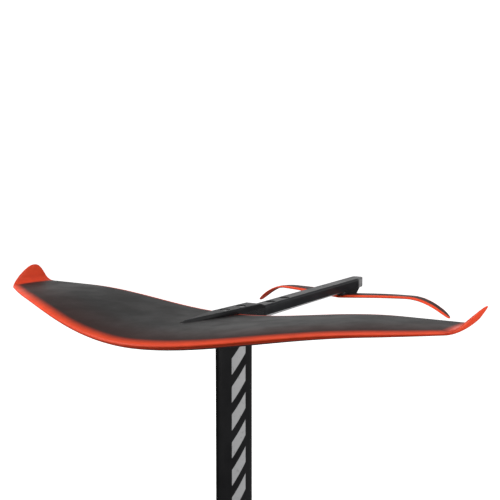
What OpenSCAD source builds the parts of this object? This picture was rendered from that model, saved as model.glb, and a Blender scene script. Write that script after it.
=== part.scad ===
// Hydrofoil with mast, front wing, fuselage and rear wing, standing on its board plate.
// Frame: X points forward along the chord, Y along the span, Z up the mast, millimetres.
// Origin: centre of the board plate's mounting face. The foil stands upside down, as on a bench.

/* [Board plate] */
// Length of the board plate
plate_l = 190; // [186:1:220]
// Width of the board plate
plate_w = 110; // [106:1:130]
// Thickness of the board plate
plate_t = 10; // [8:0.5:14]
// Distance between the board holes along the board
hole_dx = 165; // [150:1:168]
// Distance between the board holes across the board
hole_dy = 90; // [80:1:92]
// Diameter of the board holes
hole_d = 8.5; // [8:0.1:9]
// Height of the collar around the mast foot
collar_h = 26; // [20:1:40]
// Width of the collar's rim around the mast
collar_rim = 11; // [10:0.5:14]

/* [Mast] */
// Free length of the mast, from plate to fuselage
mast_len = 700; // [450:10:950]
// Chord of the mast section
mast_chord = 107; // [100:1:120]
// Thickness of the mast section
mast_t = 18; // [17.5:0.1:20]
// Wall of the hollow mast extrusion
mast_wall = 2.5; // [2:0.1:2.8]
// Length of the solid end inserts in the mast
insert_l = 60; // [50:1:80]

/* [Fuselage] */
// Width of the fuselage bar
bar_w = 28; // [26:0.5:32]
// Height of the fuselage bar
bar_h = 20.4; // [19:0.2:24]
// Front end of the bar, ahead of the mast axis
bar_front = 60; // [58:1:64]
// Tail end of the bar, behind the mast axis
bar_tail = 463; // [460:1:480]
// Chamfer along the bar's edges
bar_chamfer = 3.5; // [2:0.5:5]
// How much thinner the bar is at its tail
bar_taper = 2.6; // [1:0.1:4]
// Tip of the nose, ahead of the mast axis
nose_tip = 152; // [140:1:160]
// Height of the nose block above the bar's underside
nose_h = 28.5; // [27:0.5:30]
// Thickness of the nose block's cheeks, which wrap the bar behind the front wing
cheek_t = 2.2; // [1.8:0.1:3]
// Front mast bolt, ahead of the mast axis
bolt_front = 28; // [24:1:30]
// Distance between the two mast bolts
bolt_gap = 48; // [44:1:50]
// Distance back to the spare pair of mast holes
spare_back = 143; // [120:1:160]

/* [Front wing] */
// Span of the front wing
span = 840; // [800:5:900]
// Leading edge at the root, ahead of the mast axis
lead_x = 282; // [270:1:295]
// How far the leading edge sweeps back at the tips
sweep = 193; // [170:1:205]
// How late the sweep sets in, as a power of the span
sweep_power = 1.71; // [1.5:0.01:2]
// Trailing edge at the root, ahead of the mast axis
trail_x = 6.6; // [4:0.2:12]
// Thickness of the root section
root_t = 23; // [21:0.5:25]
// Droop of the camber line towards the mast
camber = 1.75; // [0:0.25:3]
// How far the wing rises from root to tip
dihedral = 24.2; // [15:0.2:30]
// Radius of the bend into the winglet
bend_r = 21.3; // [12:0.1:24]
// Angle of the winglet from the wing
winglet_angle = 55; // [45:0.5:62]
// Height of the winglet along its face
winglet_l = 23.3; // [18:0.1:28]
// Thickness of the laminate skins at the root
skin_t = 1.5; // [1.2:0.1:2]

/* [Rear wing] */
// Span of the rear wing
rear_span = 411; // [380:1:450]
// Leading edge of the rear wing at its root, behind the mast axis
rear_lead = 370; // [366:1:376]
// Trailing edge of the rear wing at its root, behind the mast axis
rear_trail = 434; // [430:0.5:440]
// How far the rear leading edge sweeps back
rear_sweep = 45; // [36:0.5:50]
// How far the rear wing's tips hang below its shoulders
rear_drop = 33; // [20:1:45]
// Thickness of the rear wing at its root
rear_t = 6.2; // [5:0.1:7]

/* [Fasteners] */
// Clearance drilled around a screw's shank, on the diameter
screw_play = 0.5; // [0.3:0.1:0.8]
// Outer diameter of the brass tubes that the M8 screws bite into
insert_d = 9.2; // [9:0.1:9.6]
// Length of those brass tubes
thread_l = 34; // [24:1:40]

/* [Hidden] */

$fn = 48;
eps = 0.01;
big = 1000;

// Metric shank diameters, and the brass tube for an M6
m8 = 8;
m6 = 6;
m5 = 5;
small_insert_d = 8;

// Heights: the fuselage parts are drawn from the bar's underside and lifted by fuse_z.
fuse_z = plate_t + mast_len;
bolt_xs = [bolt_front, bolt_front - bolt_gap];
spare_xs = [for (x = bolt_xs) x - spare_back];
base_xs = [26, 4, -18];
wing_screw_xs = [80, 106, 131];
rear_screw_xs = [-391, -415];

// Nose block: a vertical-sided foot sunk into the wing, and a bevelled cap.
nose_floor = 14;
nose_bevel_z = 25;
nose_end = -74;
nose_ramp = 15;
nose_shoulder = 62;
cheek_front = 10;
cheek_foot = 0.8;
cheek_play = 0.1;
notch_play = 0.2;

// Rear wing shape
rear_z = -7.9;
rear_tilt = -1.6;
rear_power = 1.73;
trail_sweep = 7;
// Rounded tip: where it begins, how far it closes, and what it takes off each edge
cap_from = 0.92;
cap_depth = 0.995;
cap_lead = 6.6;
cap_trail = 10.2;
rear_arch = 4.5;
rear_lift = 3.3;
rear_shoulder = 0.63;

// Pad between the bar's tail and the rear wing: it ends in a ramp behind the trailing edge.
pad_w = 22;
pad_floor = -9;
pad_front = -376;
pad_heel = -433;
pad_end = -448;

// Spanwise path of the front wing: flat, then a bend, then the straight winglet.
bend_arc = bend_r * winglet_angle * PI / 180;
path_flat = span / 2 - bend_r * sin(winglet_angle) - winglet_l * cos(winglet_angle);
path_tip = bend_arc + winglet_l;
core_end = 384;

// Winglet outline: how its edges rake back, and how they round off at the top
lead_rake = 21;
lead_round = 24;
trail_kick = 3.9;
kick_length = 18.8;
trail_rake = 7.3;
trail_round = 24.8;
sweep_y = 402;
root_chord = lead_x - trail_x;

function clamp01(t) = min(max(t, 0), 1);
function ease(t) = pow(sin(90 * clamp01(t)), 2);

// Half thickness of a NACA four-digit section with a closed tail, 1 at its thickest.
function naca(t) = (0.2969 * sqrt(t) - 0.126 * t - 0.3516 * t * t + 0.2843 * pow(t, 3)
                    - 0.1036 * pow(t, 4)) / 0.1;
function cosine(i, n) = (1 - cos(180 * i / n)) / 2;

// ---- front wing surface, as functions of the path length p from the root -------------------
function bend(p) = min(max((p - path_flat) / bend_r * 180 / PI, 0), winglet_angle);
function beyond(p) = max(p - path_flat - bend_arc, 0);
function tip(p) = clamp01((p - path_flat) / path_tip);
function wing_y(p) = min(p, path_flat) + bend_r * sin(bend(p)) + beyond(p) * cos(winglet_angle);
function wing_up(p) = bend_r * (1 - cos(bend(p))) + beyond(p) * sin(winglet_angle);
function lead(p) = lead_x - sweep * pow(p / sweep_y, sweep_power)
                   - lead_rake * pow(tip(p), 1.47) - lead_round * (1 - pow(1 - pow(tip(p), 2), 0.48));
function trail(p) = trail_x - 2.8 * pow(min(p, path_flat) / path_flat, 2)
                    - trail_kick * ease((p - path_flat) / kick_length + 0.5)
                    - trail_rake * pow(tip(p), 2) + trail_round * (1 - pow(1 - pow(tip(p), 2), 0.32));
function lead_z(p) = 16.9 + (dihedral + 0.5) * ease(p / sweep_y / 0.75) + wing_up(p);
function trail_z(p) = 17.8 + (dihedral - 0.6) * ease(p / sweep_y / 0.73) + wing_up(p);
function chord(p) = lead(p) - trail(p);
function thick(p) = root_t * pow(chord(p) / root_chord, 1.08);
function droop(p, t) = -camber * chord(p) / root_chord * 4 * t * (1 - t);
function half(p, t) = thick(p) / 2 * naca(t) + 0.5 * t;
function core_share(p) = p > core_end ? 0 : 1 - 2 * skin_t / max(thick(p), 3 * skin_t);

// A point of the front wing: q is the signed path length, t the chord share, n the offset
// from the chord line.
function wing_point(q, t, n) =
    let (p = abs(q), side = q < 0 ? -1 : 1, a = bend(p))
    [lead(p) - chord(p) * t,
     side * (wing_y(p) - sin(a) * n),
     lead_z(p) + (trail_z(p) - lead_z(p)) * t + cos(a) * n];

chord_n = 14;
core_from = 0.012;
core_to = 0.94;

function skin_ring(q, s) =
    let (p = abs(q), k = core_share(p))
    concat(
        [for (i = [0:chord_n]) let (t = cosine(i, chord_n)) wing_point(q, t, droop(p, t) + s * half(p, t))],
        [wing_point(q, 1, 0), wing_point(q, core_to, droop(p, core_to))],
        [for (i = [chord_n - 2:-1:1]) let (t = cosine(i, chord_n))
            wing_point(q, t, droop(p, t) + s * k * half(p, t))],
        [wing_point(q, core_from / 2, droop(p, core_from / 2))]);

function core_ring(q) =
    let (p = abs(q), k = core_share(p))
    concat(
        [wing_point(q, core_from / 2, droop(p, core_from / 2))],
        [for (i = [1:chord_n - 2]) let (t = cosine(i, chord_n))
            wing_point(q, t, droop(p, t) + k * half(p, t))],
        [wing_point(q, core_to, droop(p, core_to))],
        [for (i = [chord_n - 2:-1:1]) let (t = cosine(i, chord_n))
            wing_point(q, t, droop(p, t) - k * half(p, t))]);

// Path stations from the root to the tip: even on the flat, closer in the bend and at the tip.
half_stations = concat([for (i = [0:15]) core_end * i / 15], [core_end + 3],
                       [for (i = [0:9]) path_flat + path_tip * sin(90 * i / 9.4)]);
stations = concat([for (i = [len(half_stations) - 1:-1:1]) -half_stations[i]], half_stations);
core_stations = [for (q = stations) if (abs(q) <= core_end) q];

// ---- rear wing surface, as functions of the span share t ------------------------------------
function rear_cap(t) = 1 - sqrt(1 - cap_depth * pow(clamp01((t - cap_from) / (1 - cap_from)), 2));
function rear_le(t) = -rear_lead - rear_sweep * pow(t, rear_power) - cap_lead * rear_cap(t);
function rear_te(t) = -rear_trail - trail_sweep * t * t + cap_trail * rear_cap(t);
function rear_h(t) = rear_z + rear_arch * sin(180 * t) + rear_lift * t * t
                     - rear_drop * pow(clamp01((t - rear_shoulder) / (1 - rear_shoulder)), 2);
function rear_half(t, c) = rear_t / 2 * pow((rear_le(t) - rear_te(t)) / (rear_trail - rear_lead), 0.8)
                           * naca(c) + 0.4 * c;
rear_n = 10;
function rear_ring(u) =
    let (t = abs(u), x0 = rear_le(t), w = x0 - rear_te(t))
    concat([for (i = [0:rear_n]) let (c = cosine(i, rear_n))
               [x0 - w * c, u * rear_span / 2, rear_h(t) + rear_tilt * c + rear_half(t, c)]],
           [for (i = [rear_n:-1:1]) let (c = cosine(i, rear_n))
               [x0 - w * c, u * rear_span / 2, rear_h(t) + rear_tilt * c - rear_half(t, c)]]);
rear_stations = [for (i = [-20:20]) sign(i) * sin(90 * abs(i) / 20.6) * 0.5 + i / 40];

// ---- shared shapes ---------------------------------------------------------------------------
// A solid through a row of rings that all have the same number of points.
module loft(rings, flip = false) {
    m = len(rings[0]);
    last = len(rings) - 1;
    sides = [for (j = [0:last - 1], i = [0:m - 1]) let (a = j * m + i, b = j * m + (i + 1) % m)
        each [[a, b, b + m], [a, b + m, a + m]]];
    caps = [[for (i = [m - 1:-1:0]) i], [for (i = [0:m - 1]) last * m + i]];
    faces = concat(sides, caps);
    polyhedron([for (r = rings) each r], flip ? [for (f = faces) [for (i = [len(f) - 1:-1:0]) f[i]]] : faces);
}

// Outline of the mast section: round nose, finer tail; inset keeps a wall inside it.
function mast_half(t) = mast_t / 2 * pow(t, 0.5) * pow(1 - t, 0.75) / 0.4312;
module mast_section(inset = 0) {
    n = 36;
    first = inset > 0 ? 0.03 : 0;
    last = inset > 0 ? 0.9 : 1;
    ts = [for (i = [0:n]) first + (last - first) * cosine(i, n)];
    upper = [for (t = ts) [mast_chord * (0.5 - t), max(mast_half(t) - inset, 0.02)]];
    lower = [for (i = [n:-1:0]) [upper[i][0], -upper[i][1]]];
    polygon(concat(upper, lower));
}

// Plan of the nose block's foot and of its cap, narrowing to the tip.
function ogive(s) = pow(1 - pow(s, 1.5), 0.715);
module nose_plan(w, from, to, back = nose_end) {
    n = 16;
    side = [for (i = [0:n]) let (s = sin(90 * i / n)) [from + (to - from) * s, w * ogive(s)]];
    polygon(concat([[back, -w], [from, -w]], [for (p = side) if (p[0] > from) [p[0], -p[1]]],
                   [for (i = [n:-1:0]) if (i < n) side[i]], [[back, w]]));
}

// The space that the bar and the nose block take out of the wing.
module fuselage_space(w = bar_w + 2 * notch_play) {
    translate([nose_end, -w / 2, -50]) cube([bar_front + notch_play - nose_end, w, 150]);
    translate([0, 0, nose_floor]) linear_extrude(50) nose_plan(bar_w / 2, nose_shoulder, nose_tip, 40);
}

// Countersunk screw, its head's top at z = 0 and its shank pointing down.
module screw(d, length, head = 0) {
    head_d = head > 0 ? head : 2 * d;
    rotate_extrude() polygon([[d * 0.36, 0], [head_d / 2, 0], [head_d / 2, -0.4],
        [d / 2, -0.4 - (head_d - d) / 2], [d / 2, -length], [0, -length], [0, -d * 0.4],
        [d * 0.36, -d * 0.4]]);
}

// The hole that such a screw needs: shank clearance and countersink.
module screw_hole(d, length, head = 0) {
    head_d = head > 0 ? head : 2 * d;
    translate([0, 0, -length]) cylinder(d = d + screw_play, h = length + eps);
    rotate_extrude() polygon([[0, eps], [head_d / 2 + 0.3, eps], [head_d / 2 + 0.3, -0.4],
        [d / 2 + screw_play / 2, -0.7 - (head_d - d) / 2], [0, -0.7 - (head_d - d) / 2]]);
}

// Tube insert with a threaded bore, standing on z = 0.
module thread_insert(d, outer, h) {
    difference() {
        cylinder(d = outer, h = h);
        translate([0, 0, -1]) cylinder(d = d, h = h + 2);
    }
}

module at_fuselage() {
    translate([0, 0, fuse_z]) children();
}

// ---- board plate and mast foot -----------------------------------------------------------------
collar_screw_spots = [[59, 0], [-59, 0], [10, 14.5], [10, -14.5]];

module plate_outline() {
    r = 20;
    for (sx = [-1, 1], sy = [-1, 1])
        translate([sx * (plate_l / 2 - r), sy * (plate_w / 2 - r)]) circle(r = r);
    square([plate_l - 2 * r, plate_w], center = true);
    square([plate_l, plate_w - 2 * r], center = true);
}

module base_plate() {
    color("#26282b")
    difference() {
        linear_extrude(plate_t) plate_outline();
        for (sx = [-1, 1], sy = [-1, 1]) translate([sx * hole_dx / 2, sy * hole_dy / 2, plate_t])
            screw_hole(m8, plate_t + 1);
        for (x = base_xs) translate([x, 0, 0]) rotate([180, 0, 0]) screw_hole(m8, plate_t + 1, 14.5);
        for (p = collar_screw_spots) translate([p[0], p[1], 0])
            rotate([180, 0, 0]) screw_hole(m5, plate_t + 1);
    }
}

module collar_outline() {
    intersection() {
        circle(r = mast_chord / 2 + collar_rim + 3);
        translate([0, mast_t / 2 + collar_rim - 182]) circle(r = 182, $fn = 96);
        translate([0, 182 - mast_t / 2 - collar_rim]) circle(r = 182, $fn = 96);
    }
}

module mast_collar() {
    color("#303236")
    translate([0, 0, plate_t]) difference() {
        linear_extrude(collar_h) collar_outline();
        translate([0, 0, -1]) linear_extrude(collar_h + 2) mast_section();
        for (p = collar_screw_spots) translate([p[0], p[1], -1]) cylinder(d = m5, h = 17);
    }
}

module collar_screws() {
    color("silver")
    for (p = collar_screw_spots) translate([p[0], p[1], 0]) rotate([180, 0, 0]) screw(m5, 24);
}

module base_screws() {
    color("silver")
    for (x = base_xs) translate([x, 0, 0]) rotate([180, 0, 0]) screw(m8, 45, 14.5);
}

module end_insert(xs, bore, play) {
    difference() {
        linear_extrude(insert_l) mast_section(mast_wall + play);
        for (x = xs) translate([x, 0, -1]) cylinder(d = bore, h = insert_l + 2);
    }
}

module base_insert() {
    color("#8d9094")
    translate([0, 0, plate_t]) end_insert(base_xs, insert_d, 0.1);
}

module base_thread_inserts() {
    color("#b9a15a")
    for (x = base_xs) translate([x, 0, plate_t]) thread_insert(m8, insert_d, thread_l);
}

// ---- mast ----------------------------------------------------------------------------------------
module mast() {
    color("#1d1e21")
    translate([0, 0, plate_t]) linear_extrude(mast_len) difference() {
        mast_section();
        mast_section(mast_wall);
    }
}

module top_insert() {
    color("#8d9094")
    at_fuselage() translate([0, 0, -insert_l]) end_insert(bolt_xs, insert_d, 0.1);
}

module top_thread_inserts() {
    color("#b9a15a")
    at_fuselage() for (x = bolt_xs) translate([x, 0, -thread_l]) thread_insert(m8, insert_d, thread_l);
}

// Top of a mast bolt's head, just under the nose block's surface.
function nose_top(x) = nose_h - 2.7 * (50 - min(x, 50)) / 104;
bolt_sink = 1.4;

module mast_bolts() {
    color("silver")
    at_fuselage() for (x = bolt_xs) translate([x, 0, nose_top(x) - bolt_sink])
        screw(m8, nose_top(x) - bolt_sink + 30);
}

// ---- fuselage --------------------------------------------------------------------------------------
module bar_section() {
    w = bar_w / 2;
    c = bar_chamfer;
    polygon([[-w, c], [-w + c / 2, 0], [w - c / 2, 0], [w, c],
             [w, bar_h - c], [w - c, bar_h], [-w + c, bar_h], [-w, bar_h - c]]);
}

module bar_profile() {
    polygon([[bar_front, 0], [-90, 0], [-345, bar_taper], [10 - bar_tail, bar_taper],
             [-bar_tail, bar_taper + 8], [-bar_tail, bar_h + 1], [bar_front, bar_h + 1]]);
}

tail_round = 20;
module bar_plan() {
    translate([tail_round - bar_tail, -bar_w / 2]) square([bar_front + bar_tail - tail_round, bar_w]);
    n = 10;
    half = [for (i = [0:n]) [tail_round * (1 - pow(sin(90 * i / n), 0.7)) - bar_tail,
                             bar_w / 2 * pow(cos(90 * i / n), 0.7)]];
    polygon(concat(half, [for (i = [n - 1:-1:0]) [half[i][0], -half[i][1]]]));
}

module fuselage_bar() {
    color("#2a2c30")
    at_fuselage() difference() {
        intersection() {
            translate([bar_front, 0, 0]) rotate([90, 0, -90])
                linear_extrude(bar_front + bar_tail) bar_section();
            translate([0, big / 2, 0]) rotate([90, 0, 0]) linear_extrude(big) bar_profile();
            linear_extrude(bar_h + 2) bar_plan();
        }
        for (x = bolt_xs) translate([x, 0, -1]) cylinder(d = m8 + screw_play, h = bar_h + 2);
        for (x = spare_xs) translate([x, 0, bar_h]) screw_hole(m8, bar_h + 1, 17.5);
        for (x = rear_screw_xs) translate([x, 0, 0]) cylinder(d = small_insert_d, h = 16);
        for (side = [-1, 1]) translate([0, side * (bar_w / 2 - cheek_t - cheek_play + big / 2), 0])
            translate([nose_end - cheek_play, -big / 2, -1])
                cube([cheek_front - nose_end + 2 * cheek_play, big, bar_h + 2]);
    }
}

cap_shoulder = 48;
cap_tip = 138;
module cap_plan() {
    w = bar_w / 2 - 3.2;
    polygon([[nose_end, -w], [cap_shoulder, -w], [cap_tip, 0], [cap_shoulder, w], [nose_end, w]]);
}

module nose_profile() {
    ramp_x = nose_end + nose_ramp;
    polygon([[nose_end, bar_h], [ramp_x, nose_top(ramp_x)], [50, nose_h], [cap_tip, nose_h],
             [nose_tip + 1, 25.5], [nose_tip + 1, nose_floor], [bar_front, nose_floor], [bar_front, bar_h],
             [cheek_front, bar_h], [cheek_front, cheek_foot], [nose_end, cheek_foot]]);
}

module fuselage_nose() {
    color("#1b1c1e")
    at_fuselage() difference() {
        intersection() {
            union() {
                linear_extrude(nose_bevel_z) nose_plan(bar_w / 2, nose_shoulder, nose_tip);
                hull() {
                    translate([0, 0, nose_bevel_z - eps]) linear_extrude(eps)
                        nose_plan(bar_w / 2, nose_shoulder, nose_tip);
                    translate([0, 0, nose_h]) linear_extrude(eps) cap_plan();
                }
            }
            translate([0, big / 2, 0]) rotate([90, 0, 0]) linear_extrude(big) nose_profile();
        }
        translate([nose_end - 1, cheek_t - bar_w / 2, -1])
            cube([cheek_front - nose_end + 2, bar_w - 2 * cheek_t, bar_h + 1]);
        for (x = bolt_xs) translate([x, 0, nose_top(x) - bolt_sink]) {
            screw_hole(m8, 40);
            cylinder(d = 2 * m8 + 0.6, h = 10);
        }
        for (x = wing_screw_xs) translate([x, 0, nose_floor - 1]) cylinder(d = small_insert_d, h = 9);
    }
}

// ---- front wing --------------------------------------------------------------------------------------
root_box = [14, 176];
root_half = 36;
screw_seat = 10;

module root_zone() {
    translate([root_box[0], -root_half, -50]) cube([root_box[1] - root_box[0], 2 * root_half, 150]);
}

module wing_holes() {
    for (x = wing_screw_xs) translate([x, 0, 0]) {
        translate([0, 0, -30]) cylinder(d = m6 + screw_play, h = 60);
        translate([0, 0, screw_seat - 3.5 - 30]) cylinder(d = 2 * m6 + 1, h = 33.5);
    }
}

module wing_upper_skin() {
    color("#2f3032")
    at_fuselage() difference() {
        loft([for (q = stations) skin_ring(q, 1)], true);
        fuselage_space();
    }
}

module wing_lower_skin() {
    color("#ee4a23")
    at_fuselage() difference() {
        loft([for (q = stations) skin_ring(q, -1)]);
        fuselage_space();
        wing_holes();
    }
}

module wing_core() {
    color("#d9c9a3")
    at_fuselage() difference() {
        loft([for (q = core_stations) core_ring(q)], true);
        fuselage_space();
        root_zone();
    }
}

module wing_root_block() {
    color("#55585c")
    at_fuselage() difference() {
        intersection() {
            loft([for (q = core_stations) if (abs(q) < 60) core_ring(q)], true);
            root_zone();
        }
        fuselage_space();
        wing_holes();
    }
}

module wing_screws() {
    color("silver")
    at_fuselage() for (x = wing_screw_xs) translate([x, 0, screw_seat - 3.5]) rotate([180, 0, 0])
        rotate_extrude() polygon([[2.4, 0], [m6 - 0.4, 0], [m6 - 0.4, -3.5], [m6 / 2, -3.5],
                                  [m6 / 2, -15], [0, -15], [0, -2], [2.4, -2]]);
}

module wing_thread_inserts() {
    color("#b9a15a")
    at_fuselage() for (x = wing_screw_xs) translate([x, 0, nose_floor]) thread_insert(m6, small_insert_d, 8);
}

// ---- rear wing -----------------------------------------------------------------------------------------
rear_seat = -11;

module pad_outline() {
    translate([pad_front - pad_w / 2, 0]) circle(d = pad_w);
    translate([pad_end, -pad_w / 2]) square([pad_front - pad_w / 2 - pad_end, pad_w]);
}

module rear_wing() {
    color("#2f3032")
    at_fuselage() difference() {
        loft([for (u = rear_stations) rear_ring(u)], true);
        for (x = rear_screw_xs) translate([x, 0, rear_seat]) rotate([180, 0, 0]) {
            screw_hole(m6, 30, 11);
            cylinder(d = 11.6, h = 10);
        }
        translate([0, 0, pad_floor]) linear_extrude(20) pad_outline();
    }
}

module rear_wing_pad() {
    color("#151617")
    at_fuselage() difference() {
        intersection() {
            translate([0, 0, pad_floor]) linear_extrude(bar_taper - pad_floor) pad_outline();
            translate([0, big / 2, 0]) rotate([90, 0, 0]) linear_extrude(big)
                polygon([[0, pad_floor], [pad_heel, pad_floor], [pad_end, bar_taper], [0, bar_taper]]);
        }
        for (x = rear_screw_xs) translate([x, 0, pad_floor - 1]) cylinder(d = m6 + screw_play, h = 30);
    }
}

module rear_wing_screws() {
    color("silver")
    at_fuselage() for (x = rear_screw_xs) translate([x, 0, rear_seat]) rotate([180, 0, 0]) screw(m6, 26, 11);
}

module rear_thread_inserts() {
    color("#b9a15a")
    at_fuselage() for (x = rear_screw_xs) translate([x, 0, bar_taper])
        thread_insert(m6, small_insert_d, 16 - bar_taper);
}

base_plate();
mast_collar();
collar_screws();
base_screws();
base_insert();
base_thread_inserts();
mast();
top_insert();
top_thread_inserts();
mast_bolts();
fuselage_bar();
fuselage_nose();
wing_upper_skin();
wing_lower_skin();
wing_core();
wing_root_block();
wing_screws();
wing_thread_inserts();
rear_wing();
rear_wing_pad();
rear_wing_screws();
rear_thread_inserts();
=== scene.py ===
import math

import bmesh
import bpy
import numpy as np
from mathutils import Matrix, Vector


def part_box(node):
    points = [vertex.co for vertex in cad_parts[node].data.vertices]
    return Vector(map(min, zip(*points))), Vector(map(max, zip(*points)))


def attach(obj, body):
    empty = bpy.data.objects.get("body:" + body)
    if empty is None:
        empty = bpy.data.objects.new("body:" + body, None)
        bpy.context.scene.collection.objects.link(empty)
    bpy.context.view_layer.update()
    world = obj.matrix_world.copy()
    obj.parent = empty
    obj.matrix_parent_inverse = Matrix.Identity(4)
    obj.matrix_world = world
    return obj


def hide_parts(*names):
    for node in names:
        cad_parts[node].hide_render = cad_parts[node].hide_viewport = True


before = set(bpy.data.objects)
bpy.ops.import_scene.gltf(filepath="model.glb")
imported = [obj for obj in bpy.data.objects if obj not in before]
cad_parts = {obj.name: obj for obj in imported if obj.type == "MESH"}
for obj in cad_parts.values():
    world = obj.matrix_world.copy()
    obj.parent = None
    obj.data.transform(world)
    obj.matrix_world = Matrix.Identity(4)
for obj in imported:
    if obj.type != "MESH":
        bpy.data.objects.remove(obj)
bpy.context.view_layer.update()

# Hydrofoil mast wing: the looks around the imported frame. Metres, +X forward, +Z up the mast.
# Shape values are in millimetres, as in the part's source, and are multiplied by MM on the way
# into a mesh. Heights counted from FUSE_Z or PLATE_TOP are in metres.
MM = 0.001
FUSE_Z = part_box("mast")[1].z          # underside of the fuselage
PLATE_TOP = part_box("mast")[0].z
PAINT_FIELDS = ("from_lead", "from_trail", "path")
BARE = 60.0                           # paint distance of bare laminate, far from every painted edge


# ---------------------------------------------------------------- mesh helpers
def link(name, me, smooth_deg=30):
    ob = bpy.data.objects.new(name, me)
    bpy.context.scene.collection.objects.link(ob)
    if smooth_deg is not None:
        me.shade_smooth()
        me.set_sharp_from_angle(angle=math.radians(smooth_deg))
    return ob


def resharpen(ob, smooth_deg):
    ob.data.shade_smooth()
    ob.data.set_sharp_from_angle(angle=math.radians(smooth_deg))


def mesh_from(name, verts, faces, smooth_deg=30):
    me = bpy.data.meshes.new(name)
    me.from_pydata([tuple(map(float, v)) for v in verts], [], faces)
    bm = bmesh.new()
    bm.from_mesh(me)
    bmesh.ops.recalc_face_normals(bm, faces=bm.faces)
    bm.to_mesh(me)
    bm.free()
    return link(name, me, smooth_deg)


def ring_faces(rows, cols, capped=False):
    """Quads between rows of closed rings, with a face over each end if capped."""
    out = []
    for j in range(rows - 1):
        for i in range(cols):
            k = (i + 1) % cols
            out.append((j * cols + i, j * cols + k, (j + 1) * cols + k, (j + 1) * cols + i))
    if capped:
        out += [tuple(range(cols)), tuple((rows - 1) * cols + i for i in range(cols))]
    return out


def point_field(me, name, values):
    a = me.attributes.new(name, "FLOAT", "POINT")
    a.data.foreach_set("value", np.asarray(values, np.float32))


def prism(name, outline, z0, z1):
    """A temporary solid that is cut away from something. It carries the paint distances of bare
    black laminate, which the cut walls then take."""
    n = len(outline)
    verts = [(x, y, z0) for x, y in outline] + [(x, y, z1) for x, y in outline]
    faces = [tuple(range(n)), tuple(range(n, 2 * n))]
    faces += [(i, (i + 1) % n, n + (i + 1) % n, n + i) for i in range(n)]
    ob = mesh_from(name, verts, faces, None)
    for field in PAINT_FIELDS:
        point_field(ob.data, field, [BARE] * len(verts))
    return ob


def disc_cutter(x, r, z0, z1):
    """A round hole at x on the centre line. The ring is turned by half a step, so that no corner
    falls on the wing's own centre line."""
    turns = (np.arange(48) + 0.5) * np.pi / 24
    return prism("hole", [((x + r * math.cos(a)) * MM, r * math.sin(a) * MM) for a in turns], z0, z1)


def cut(ob, cutters):
    """Cuts solids out of ob for good and removes them."""
    for c in cutters:
        m = ob.modifiers.new("cut", "BOOLEAN")
        m.operation, m.object, m.solver = "DIFFERENCE", c, "EXACT"
        dg = bpy.context.evaluated_depsgraph_get()
        me = bpy.data.meshes.new_from_object(ob.evaluated_get(dg), depsgraph=dg)
        ob.modifiers.clear()
        ob.data = me
        bpy.data.objects.remove(c)


def revolve(name, profile, at, up, n, lobes=None):
    """A turned solid: profile is (radius, height) from the axis outwards and round to the axis.
    lobes maps a profile row to a wave, so that a socket gets its six lobes."""
    rings, faces, verts = [], [], []
    for k, (r, h) in enumerate(profile):
        if r <= 1e-6:
            rings.append([len(verts)])
            verts.append((at[0], at[1], at[2] + up * h * MM))
            continue
        wave = (lobes or {}).get(k, 0)
        row = []
        for i in range(n):
            a = 2 * math.pi * i / n
            rr = r * (1 + wave * math.cos(6 * a)) * MM
            row.append(len(verts))
            verts.append((at[0] + rr * math.cos(a), at[1] + rr * math.sin(a), at[2] + up * h * MM))
        rings.append(row)
    for a, b in zip(rings, rings[1:]):
        for i in range(n):
            j = (i + 1) % n
            if len(a) == 1:
                faces.append((a[0], b[i], b[j]))
            elif len(b) == 1:
                faces.append((a[i], a[j], b[0]))
            else:
                faces.append((a[i], a[j], b[j], b[i]))
    return mesh_from(name, verts, faces, 34)


def join(name, obs):
    """Several separate meshes as one piece."""
    bm = bmesh.new()
    for o in obs:
        bm.from_mesh(o.data)
    me = bpy.data.meshes.new(name)
    bm.to_mesh(me)
    bm.free()
    for o in obs:
        bpy.data.objects.remove(o)
    return link(name, me, 32)


def refine(node, name, bevel_mm=0.5, segments=2, angle=28, dissolve=1.0):
    """A finished copy of a CAD node: triangles merged into whole faces, edges broken with a small
    radius, as a machined or moulded part has them."""
    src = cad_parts[node]
    bm = bmesh.new()
    bm.from_mesh(src.data)
    bmesh.ops.remove_doubles(bm, verts=bm.verts, dist=2e-6)
    bmesh.ops.dissolve_limit(bm, angle_limit=math.radians(dissolve), verts=bm.verts, edges=bm.edges)
    me = bpy.data.meshes.new(name)
    bm.to_mesh(me)
    bm.free()
    ob = link(name, me)
    if bevel_mm:
        b = ob.modifiers.new("edge", "BEVEL")
        b.width, b.segments, b.limit_method = bevel_mm * MM, segments, "ANGLE"
        b.angle_limit = math.radians(angle)
        b.harden_normals = True
        b.use_clamp_overlap = True
        # takes out the slivers that clamped bevels leave
        ob.modifiers.new("weld", "WELD").merge_threshold = 1e-5
    return ob


def put(ob, material, slot, *nodes):
    ob.data.materials.clear()
    ob.data.materials.append(material)
    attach(ob, "root")
    if nodes:
        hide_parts(*nodes)


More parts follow.
